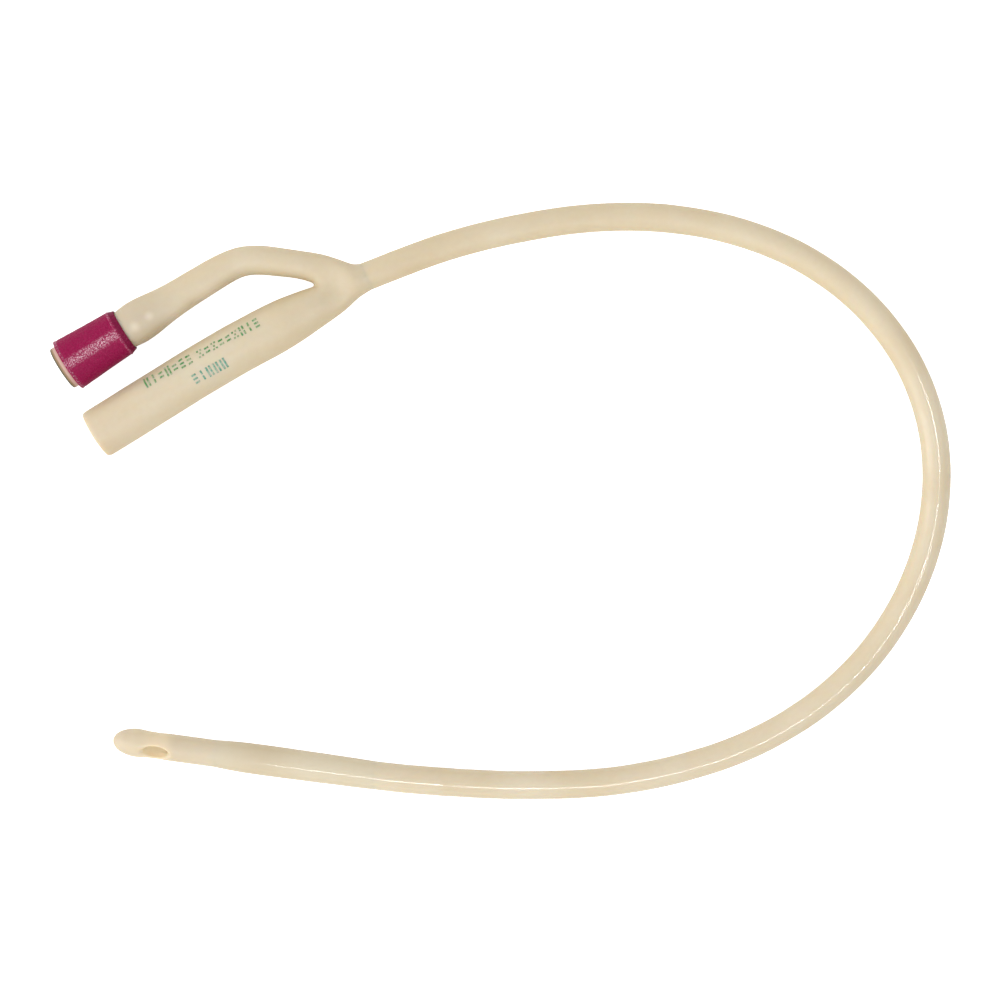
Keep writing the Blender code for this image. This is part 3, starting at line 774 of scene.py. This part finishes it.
def crimson_band(streak, rims, chamfer):
    """Crimson rubber, polished along a streak and on both rims, and crinkled there, where painted highlight
    points are also mixed into its colour. Darker on the chamfer, as painted shade.

    The streak is a place across, along Y; the rims and the start of the chamfer are places along X.
    """
    material, tree, shader = new_material(
        "band_crimson", Roughness=0.45, Specular_IOR_Level=0.08, Coat_Roughness=0.36, Coat_IOR=1.7
    )
    crimson = settings().finish.band
    deep = 0.54 * Vector(crimson)
    split = add(tree, "ShaderNodeSeparateXYZ", {0: object_place(tree)}).outputs
    colour = mixed(tree, noise(tree, scale=2400.0, detail=4.0), (*crimson, 1), (*deep, 1))
    sharp = 0.0001
    beyond = ranged(tree, split["X"], chamfer - sharp, chamfer + sharp)
    # Painted shade: the chamfer is darkened
    colour = mixed(tree, maths(tree, "MULTIPLY", beyond, 0.5), colour, (*(0.5 * deep), 1))
    bright = ranged(tree, noise(tree, scale=4200.0, detail=2.0), 0.48, 0.62, low=0.05)
    polish = stripe(tree, split["Y"], streak, reach=0.0015)
    for rim in rims:
        line = stripe(tree, split["X"], rim, reach=0.00035)
        polish = maths(tree, "MAXIMUM", polish, maths(tree, "MULTIPLY", line, 0.9))
    polish = maths(tree, "MULTIPLY", polish, maths(tree, "SUBTRACT", 1.0, beyond))
    points = maths(tree, "MULTIPLY", maths(tree, "MAXIMUM", polish, 0.07), bright)
    # Painted highlight: the bright points give the coat and are also mixed into the colour
    colour = mixed(tree, maths(tree, "MULTIPLY", points, 0.3), colour, BAND_PAINTED_HIGHLIGHT)
    tree.links.new(colour, shader.inputs["Base Color"])
    tree.links.new(points, shader.inputs["Coat Weight"])
    bump(tree, shader, 0.00020, Dips_per_Metre=1200.0, Pebbles_per_Metre=4200.0, Pebble_Share=0.6)
    return material


def brown_plug(edge, strip):
    """Matt moulded rubber: dark at its outer edge, with a pinkish cream strip next to the band, along X."""
    material, tree, shader = new_material("plug_rubber")
    brown = settings().finish.plug
    dark_end = edge + 0.0003
    strip_start = strip - 0.0006
    along = add(tree, "ShaderNodeSeparateXYZ", {0: object_place(tree)}).outputs["X"]
    mottle = noise(tree, scale=700.0, detail=4.0)
    colour = mixed(tree, mottle, (*brown, 1), (*(1.5 * Vector(brown)), 1))
    colour = mixed(tree, ranged(tree, along, dark_end + 0.00015, dark_end), colour, PLUG_EDGE)
    colour = mixed(tree, ranged(tree, along, strip_start - 0.0003, strip_start), colour, PLUG_STRIP)
    tree.links.new(colour, shader.inputs["Base Color"])
    bump(tree, shader, 0.00004, Dips_per_Metre=900.0, Pebbles_per_Metre=6000.0)
    tree.links.new(ranged(tree, mottle, 0.0, 1.0, low=0.45, high=0.65), shader.inputs["Roughness"])
    return material


def printing_ink(name, ink):
    """Printed green that has sunk unevenly into the latex."""
    material, tree, shader = new_material(name, Roughness=0.5)
    amount = ranged(tree, noise(tree, scale=1500.0, detail=3.0), 0.4, 0.65, high=0.6)
    colour = mixed(tree, amount, (*ink, 1), (*settings().finish.latex, 1))
    tree.links.new(colour, shader.inputs["Base Color"])
    return material


# Meshes


def linked(name, data):
    obj = bpy.data.objects.new(name, data)
    bpy.context.scene.collection.objects.link(obj)
    return obj


def mesh_of(bm, name):
    """A mesh made of this edit mesh, which is freed."""
    mesh = bpy.data.meshes.new(name)
    bm.to_mesh(mesh)
    bm.free()
    return mesh


def copy_of_solid(node, name):
    """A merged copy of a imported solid, its triangles joined to quads and its crisp edges creased."""
    nearly_flat = math.radians(30)
    nearly_square = math.radians(60)
    crisp = math.radians(40)
    bm = bmesh.new()
    bm.from_mesh(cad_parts[node].data)
    bmesh.ops.remove_doubles(bm, verts=bm.verts, dist=WELD)
    bmesh.ops.join_triangles(
        bm, faces=bm.faces, angle_face_threshold=nearly_flat, angle_shape_threshold=nearly_square
    )
    crease = bm.edges.layers.float.new("crease_edge")
    for edge in bm.edges:
        if edge.calc_face_angle(0) > crisp:
            edge[crease] = 1
    return linked(name, mesh_of(bm, name))


def remesh(obj, voxel):
    """Even small faces all over, so that polishing rounds every edge alike."""
    modifier = obj.modifiers.new("remesh", "REMESH")
    modifier.mode = "VOXEL"
    modifier.voxel_size = voxel
    settle(obj)


def rounded(corners):
    """An outline with round corners. Each is given as distance along X, radius from X, and its bend."""
    steps = 5
    points = []
    for i, (along, radius, bend) in enumerate(corners):
        here = Vector((along, radius))
        if not bend:
            points.append(here)
            continue
        to_before = (Vector(corners[i - 1][:2]) - here).normalized()
        to_after = (Vector(corners[(i + 1) % len(corners)][:2]) - here).normalized()
        reach = bend / math.tan(to_before.angle(to_after) / 2)
        start = here + reach * to_before
        end = here + reach * to_after
        for step in range(steps + 1):
            share = step / steps
            points.append(start.lerp(here, share).lerp(here.lerp(end, share), share))
    return points


def spaced(points, spacing):
    """The closed outline again, with its long stretches divided."""
    fine = []
    for first, second in zip(points, points[1:] + points[:1]):
        parts = max(1, round((second - first).length / spacing))
        fine += [first.lerp(second, i / parts) for i in range(parts)]
    return fine


def lathe(name, outline, sides, place):
    """Turn a closed outline, which is clear of the axis, about X."""
    bm = bmesh.new()
    columns = []
    for i in range(sides):
        angle = math.tau * i / sides
        columns.append([bm.verts.new((p.x, p.y * math.sin(angle), p.y * math.cos(angle))) for p in outline])
    for here, there in zip(columns, columns[1:] + columns[:1]):
        for j in range(len(outline)):
            k = (j + 1) % len(outline)
            bm.faces.new((here[j], here[k], there[k], there[j]))
    bmesh.ops.remove_doubles(bm, verts=bm.verts, dist=0.1 * WELD)
    bmesh.ops.recalc_face_normals(bm, faces=bm.faces)
    mesh = mesh_of(bm, name)
    mesh.transform(place)
    return linked(name, mesh)


def centre_of(node):
    low, high = (Vector(corner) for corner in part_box(node))
    return (low + high) / 2


def eased(value, start, end):
    """A share that eases from 0 at the start to 1 at the end."""
    share = min(max((value - start) / (end - start), 0), 1)
    return share * share * (3 - 2 * share)


def heading_of(angle):
    return Vector((math.cos(angle), math.sin(angle), 0))


def shaft_end():
    """Where the balloon starts, the joint gap beyond the end of the route."""
    return Vector(ROUTE[-1]) + settings().shape.joint_gap * heading_of(TIP_HEADING)


def along_tip(along, left=0, up=0):
    """A place by its distance from the start of the balloon, then to the left of its axis and above it."""
    aside = Vector((-math.sin(TIP_HEADING), math.cos(TIP_HEADING), 0))
    return shaft_end() + along * heading_of(TIP_HEADING) + left * aside + Vector((0, 0, up))


def nose_darkening():
    """The darker tint of the end: darkest at the nose, it fades out along the balloon."""
    return along_tip(0.0550), 0.060, NOSE_TINT, 0.6


def smooth_route():
    """Points close together on one smooth curve through the route, from under the neck to the tip."""
    shape = settings().shape
    points = [Vector(SHAFT_START)] + [Vector(point) for point in ROUTE]
    first, last = heading_of(NECK_HEADING), heading_of(TIP_HEADING)
    tangents = [(after - before) / 2 for before, after in zip(points, points[2:])]
    tangents.insert(0, first * (points[1] - points[0]).length)
    tangents.append(last * (points[-1] - points[-2]).length)
    line = [points[0] - shape.neck_blend * first]
    points_per_stretch = 9
    for i in range(len(points) - 1):
        handles = (points[i] + tangents[i] / 3, points[i + 1] - tangents[i + 1] / 3)
        line += interpolate_bezier(points[i], *handles, points[i + 1], points_per_stretch)[:-1]
    line.append(points[-1])
    line.append(shaft_end())
    return line


# Stage and pieces


class CatheterStageOperator(bpy.types.Operator):
    """Build the camera over the table, the pale table and the soft studio light"""

    bl_idname = "catheter.stage"
    bl_label = "Build Stage"

    def execute(self, context):
        stage = settings().stage
        self.make_camera(stage, context.scene)
        self.make_table(stage)
        self.make_sky(stage, context.scene)
        self.make_lamps(stage)
        return {"FINISHED"}

    def make_camera(self, stage, scene):
        camera = bpy.data.cameras.new("camera")
        camera.sensor_width = SENSOR_WIDTH
        reach = stage.camera_height - settings().shape.shaft_diameter / 2
        camera.lens = SENSOR_WIDTH * reach / stage.view_width
        eye = linked("camera", camera)
        eye.location = (*stage.view_centre, stage.camera_height)
        eye.rotation_euler = (0, 0, stage.view_turn)
        scene.camera = eye

    def make_table(self, stage):
        bm = bmesh.new()
        bmesh.ops.create_grid(bm, x_segments=1, y_segments=1, size=TABLE_SIDE / 2)
        floor = linked("table", mesh_of(bm, "table"))
        floor.location = (*stage.view_centre, -TABLE_DEPTH)
        material, tree, shader = new_material(
            "table_white",
            Base_Color=TABLE_WHITE,
            Roughness=0.9,
            Specular_IOR_Level=0.1,
            Emission_Color=(1, 1, 1, 1),
        )
        seen = add(tree, "ShaderNodeLightPath").outputs["Is Camera Ray"]
        glow = maths(tree, "MULTIPLY", seen, stage.table_glow)
        tree.links.new(glow, shader.inputs["Emission Strength"])
        floor.data.materials.append(material)

    def make_sky(self, stage, scene):
        world = bpy.data.worlds.new("white_surroundings")
        world.use_nodes = True
        scene.world = world
        scene.view_settings.view_transform = "Standard"
        tree = world.node_tree
        background = tree.nodes["Background"]
        background.inputs["Color"].default_value = (1, 1, 1, 1)
        heading = add(tree, "ShaderNodeTexCoord").outputs["Generated"]
        brightest = Matrix.Rotation(stage.view_turn, 4, "Z") @ Vector(BRIGHTEST_SKY)
        lean = vector_maths(tree, "DOT_PRODUCT", heading, brightest, result="Value")
        share = maths(tree, "MULTIPLY_ADD", lean, stage.sky_lean, 1.0)
        strength = maths(tree, "MULTIPLY", share, stage.sky_strength)
        tree.links.new(strength, background.inputs["Strength"])

    def make_lamps(self, stage):
        towards_middle = (-Vector(SOFTBOX_PLACE)).to_track_quat("-Z", "Y").to_matrix().to_4x4()
        softbox = (SOFTBOX_SIDE, SOFTBOX_SIDE)
        self.lamp(stage, "softbox", SOFTBOX_PLACE, softbox, stage.softbox_power, towards_middle)
        spark = ("spark", SPARK_PLACE, (SPARK_SIDE, SPARK_SIDE), stage.spark_power, 0)
        strips = [
            (name, place, (length, STRIP_WIDTH), length * stage.glint_power, heading)
            for name, place, length, heading in STRIPS
        ]
        for name, place, sides, power, heading in (spark, *strips):
            turned = Matrix.Rotation(math.radians(heading), 4, "Z")
            self.lamp(stage, name, place, sides, power, turned).visible_diffuse = False

    def lamp(self, stage, name, place, sides, power, aim):
        light = bpy.data.lights.new(name, "AREA")
        light.shape = "RECTANGLE"
        light.size, light.size_y = sides
        light.energy = power
        lamp = linked(name, light)
        view = Matrix.Translation((*stage.view_centre, 0)) @ Matrix.Rotation(stage.view_turn, 4, "Z")
        lamp.matrix_world = view @ Matrix.Translation(place) @ aim
        return lamp


class CatheterTipOperator(bpy.types.Operator):
    """Build the moulded tip with its heat-polished drainage eyes"""

    bl_idname = "catheter.tip"
    bl_label = "Build Tip"

    def execute(self, context):
        shape = settings().shape
        tip = copy_of_solid("tip", "tip_moulding")
        remesh(tip, shape.tip_voxel)
        self.fit_outline(tip, shape)
        # Painted light: an emitted glow that lights the inside of the eyes
        eye_painted_light = (along_tip(0.0470), heading_of(TIP_HEADING), 0.0036, 0.0056, EYE_PAINTED_LIGHT, 0.26)
        material = latex(
            "tip_latex", shade=1.02, roughness=0.4, blooms=[nose_darkening()], coat=0.4, glow=eye_painted_light
        )
        dip(tip, material, 0.5 * shape.skin_unevenness, shape.skin_wave, shape.tip_polish)
        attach(tip, BODY)
        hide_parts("tip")
        return {"FINISHED"}

    def fit_outline(self, tip, shape):
        """Slim the stretch behind the eyes, and make the nose fuller and a little longer."""
        ahead = heading_of(TIP_HEADING)
        start = shaft_end()
        for vertex in tip.data.vertices:
            along = (vertex.co - start).dot(ahead)
            centre = start + along * ahead
            fuller = shape.nose_fullness * (eased(along, *FULL_STRETCH) - eased(along, *SLIM_STRETCH))
            longer = shape.nose_growth * eased(along, *LONG_STRETCH) * ahead
            vertex.co = centre + (1 + fuller) * (vertex.co - centre) + longer


class CatheterBalloonOperator(bpy.types.Operator):
    """Build the empty balloon, a thin sleeve bonded over the stem of the tip"""

    bl_idname = "catheter.balloon"
    bl_label = "Build Balloon"

    def execute(self, context):
        shape = settings().shape
        gentle = 0.05
        first, *middle, last = BALLOON_SKIN
        corners = (
            (first[0], BALLOON_INSIDE, 0),
            (*first, 0),
            *((*point, gentle) for point in middle),
            (*last, 0),
            (last[0], BALLOON_INSIDE, 0),
        )
        place = Matrix.Translation(shaft_end()) @ Matrix.Rotation(TIP_HEADING, 4, "Z")
        balloon = lathe("balloon_sleeve", spaced(rounded(corners), spacing=0.0004), 96, place)
        # A darker patch on the upper left of the balloon
        darker_patch = (along_tip(0.0235, left=-0.0022, up=0.0022), 0.008, BALLOON_PATCH_TINT, 0.3)
        material = latex(
            "balloon_latex", shade=0.99, roughness=0.38, blooms=[nose_darkening(), darker_patch], coat=0.5, soft=0.1,
            shine=(along_tip(0.0180), -heading_of(TIP_HEADING), 0.006, 0.5),
        )
        dip(balloon, material, 0.6 * shape.skin_unevenness, 0.5 * shape.skin_wave)
        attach(balloon, BODY)
        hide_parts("balloon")
        return {"FINISHED"}


class CatheterShaftOperator(bpy.types.Operator):
    bl_idname = "catheter.shaft"
    bl_label = "Build Shaft"

    def execute(self, context):
        shape = settings().shape
        line = smooth_route()
        mesh = bpy.data.meshes.new("shaft_tube")
        mesh.from_pydata(line, [(i, i + 1) for i in range(len(line) - 1)], [])
        shaft = linked("shaft_tube", mesh)
        material = latex(
            "shaft_latex", shade=0.995, roughness=0.38, blooms=[nose_darkening()], coat=0.6,
            shine=(GLOSS_LINE, GLOSS_SIDE, 0.02, 0.12),
        )
        run_tree(
            shaft, built(tube_tree),
            {
                "Radius": shape.shaft_diameter / 2,
                "Sides": shape.shaft_sides,
                "Ring Spacing": shape.shaft_ring_spacing,
                "Unevenness": shape.skin_unevenness,
                "Wave": shape.skin_wave,
                "Ripple": shape.skin_ripple,
                "Ripple Wave": shape.ripple_wave,
                "Material": material,
            },
        )
        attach(shaft, BODY)
        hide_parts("shaft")
        return {"FINISHED"}


class CatheterFunnelOperator(bpy.types.Operator):
    """Build the forked funnel body, with the gentle waves of a hand-dipped moulding"""

    bl_idname = "catheter.funnel"
    bl_label = "Build Funnel Body"

    def execute(self, context):
        shape = settings().shape
        body = copy_of_solid("funnel_body", "funnel_moulding")
        remesh(body, shape.funnel_voxel)
        self.slip_neck_under_shaft(body, shape)
        material = latex("funnel_latex", shade=0.985, roughness=0.42, blooms=self.blooms())
        dip(body, material, shape.skin_unevenness, shape.skin_wave, shape.funnel_polish)
        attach(body, BODY)
        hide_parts("funnel_body")
        return {"FINISHED"}

    def slip_neck_under_shaft(self, body, shape):
        """Narrow the last stretch of the neck, so that the shaft comes out of it without a seam."""
        ahead = heading_of(NECK_HEADING)
        end = Vector(SHAFT_START)
        for vertex in body.data.vertices:
            along = (vertex.co - end).dot(ahead)
            share = along / shape.neck_blend + 1
            if share > 0:
                centre = end + along * ahead
                scale = 1 - shape.neck_narrowing * min(share, 1) ** 2
                vertex.co = centre + scale * (vertex.co - centre)

    def blooms(self):
        """Patches on the arm: a darker stretch next to the band, painted highlights on top, and painted
        light on its shaded side.
        """
        band_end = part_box("colour_band")[1][0]
        arm_y, arm_z = centre_of("colour_band")[1:]
        return (
            ((band_end + 0.001, arm_y, arm_z), 0.016, DULL, 0.9),
            # Painted highlights: two pale spots on top of the arm
            ((band_end + 0.0024, arm_y - 0.0012, arm_z + 0.0045), 0.0017, ARM_PAINTED_LIGHT, 0.4),
            ((band_end + 0.0062, arm_y - 0.0008, arm_z + 0.0043), 0.0015, ARM_PAINTED_LIGHT, 0.4),
            # Painted light: a paler side of the arm, lifting the shade that the funnel casts on it
            ((band_end + 0.0110, arm_y - 0.0055, arm_z), 0.0060, ARM_PAINTED_LIGHT, 0.7),
            ((band_end + 0.0190, arm_y - 0.0050, arm_z), 0.0060, ARM_PAINTED_LIGHT, 0.7),
        )


class CatheterBandOperator(bpy.types.Operator):
    """Build the crimson colour band, with a bead at each rim, a slight waist and a chamfer"""

    bl_idname = "catheter.band"
    bl_label = "Build Colour Band"

    def execute(self, context):
        low, high = (Vector(corner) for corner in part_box("colour_band"))
        centre = centre_of("colour_band")
        length = high.x - low.x
        radius = (high.z - low.z) / 2
        inner = 0.00435
        nose = radius - 0.00068
        chamfer = 0.0011
        shoulder = length - chamfer
        crisp = 0.0001
        fine = 0.00008
        corners = (
            (0, inner, 0),
            (0, radius - 0.00005, crisp),
            (0.0004, radius, crisp),
            (0.0007, radius - 0.00014, fine),
            (0.0010, radius - 0.00008, fine),
            (0.5 * length, (radius + nose) / 2 - 0.0001, 0.003),
            (shoulder - 0.0006, nose, crisp),
            (shoulder - 0.0003, nose + 0.00009, fine),
            (shoulder, nose - 0.0001, fine),
            (length, inner + 0.0003, crisp),
            (length, inner, 0),
        )
        place = Matrix.Translation((low.x, centre.y, centre.z))
        band = lathe("band_ring", spaced(rounded(corners), spacing=0.00025), 144, place)
        rims = (low.x + 0.00045, low.x + shoulder - 0.0003)
        material = crimson_band(centre.y - 0.00045, rims, high.x - chamfer)
        dip(band, material, unevenness=0.00003, wave=0.0012)
        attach(band, BODY)
        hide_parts("colour_band")
        lit = bpy.data.collections.new("lit_by_spark")
        lit.objects.link(band)
        bpy.data.objects["spark"].light_linking.receiver_collection = lit
        return {"FINISHED"}


class CatheterPlugOperator(bpy.types.Operator):
    """Build the valve plug with its syringe port"""

    bl_idname = "catheter.plug"
    bl_label = "Build Valve Plug"

    def execute(self, context):
        plug = copy_of_solid("valve_plug", "valve_core")
        modifier = plug.modifiers.new("subdivide", "SUBSURF")
        modifier.levels = modifier.render_levels = 2
        edge, strip = (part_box(node)[0][0] for node in ("valve_plug", "colour_band"))
        self.seat_rim(plug, strip)
        dip(plug, brown_plug(edge, strip), unevenness=0.0, wave=settings().shape.skin_wave)
        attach(plug, BODY)
        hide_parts("valve_plug")
        return {"FINISHED"}

    def seat_rim(self, plug, strip):
        """Bring the back of the rim just into the band, without the gap that the solids leave."""
        gap = settings().shape.joint_gap
        slack = 0.0001
        overlap = 0.00005
        for vertex in plug.data.vertices:
            if strip - gap - slack < vertex.co.x < strip:
                vertex.co.x += gap + overlap


class CatheterMarksOperator(bpy.types.Operator):
    """Print the two rows of plain green marks on the funnel"""

    bl_idname = "catheter.marks"
    bl_label = "Print Marks"

    def execute(self, context):
        origin = Vector((*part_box("funnel_body")[0][:2], 0)) + Vector(PRINT_ORIGIN)
        finish = settings().finish
        green = printing_ink("print_ink", finish.ink)
        cool = printing_ink("print_ink_cool", finish.ink_cool)
        ahead = heading_of(PRINT_HEADING)
        step = PRINT_PITCH * ahead
        upper = Vector(UPPER_ROW)
        rows = (
            ("print_row_start", upper, 7, 3, green),
            ("print_row_end", upper + SECOND_GROUP * ahead, 9, 11, green),
            ("print_row_short", Vector(LOWER_ROW), 5, 8, cool),
        )
        skin = bpy.data.objects["funnel_moulding"]
        for name, start, copies, seed, ink in rows:
            row = linked(name, bpy.data.meshes.new(name))
            place = {"Skin": skin, "Start": origin + start, "Step": step}
            run_tree(row, built(marks_tree), {**place, "Count": copies, "Seed": seed, "Material": ink})
            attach(row, BODY)
        return {"FINISHED"}


class CatheterPanel(bpy.types.Panel):
    """Lists the sizes, the finishes and the pieces"""

    bl_idname = "CATHETER_PT_pieces"
    bl_label = "Catheter"
    bl_space_type = "VIEW_3D"
    bl_region_type = "UI"
    bl_category = "Catheter"

    def draw(self, context):
        for group_name in ("shape", "finish", "stage"):
            values = getattr(context.scene.catheter, group_name)
            box = self.layout.box()
            for name in values.bl_rna.properties.keys():
                if name not in ("rna_type", "name"):
                    box.prop(values, name)
        for operator in OPERATORS:
            self.layout.operator(operator.bl_idname)


OPERATORS = (
    CatheterStageOperator,
    CatheterTipOperator,
    CatheterBalloonOperator,
    CatheterShaftOperator,
    CatheterFunnelOperator,
    CatheterMarksOperator,
    CatheterBandOperator,
    CatheterPlugOperator,
)
CLASSES = (CatheterShape, CatheterFinish, CatheterStage, CatheterSettings, *OPERATORS, CatheterPanel)


def register():
    for kind in CLASSES:
        bpy.utils.register_class(kind)
    bpy.types.Scene.catheter = bpy.props.PointerProperty(type=CatheterSettings)


def unregister():
    del bpy.types.Scene.catheter
    for kind in reversed(CLASSES):
        bpy.utils.unregister_class(kind)


def main():
    register()
    for operator in OPERATORS:
        getattr(bpy.ops.catheter, operator.bl_idname.split(".")[1])()


if __name__ == "__main__":
    main()
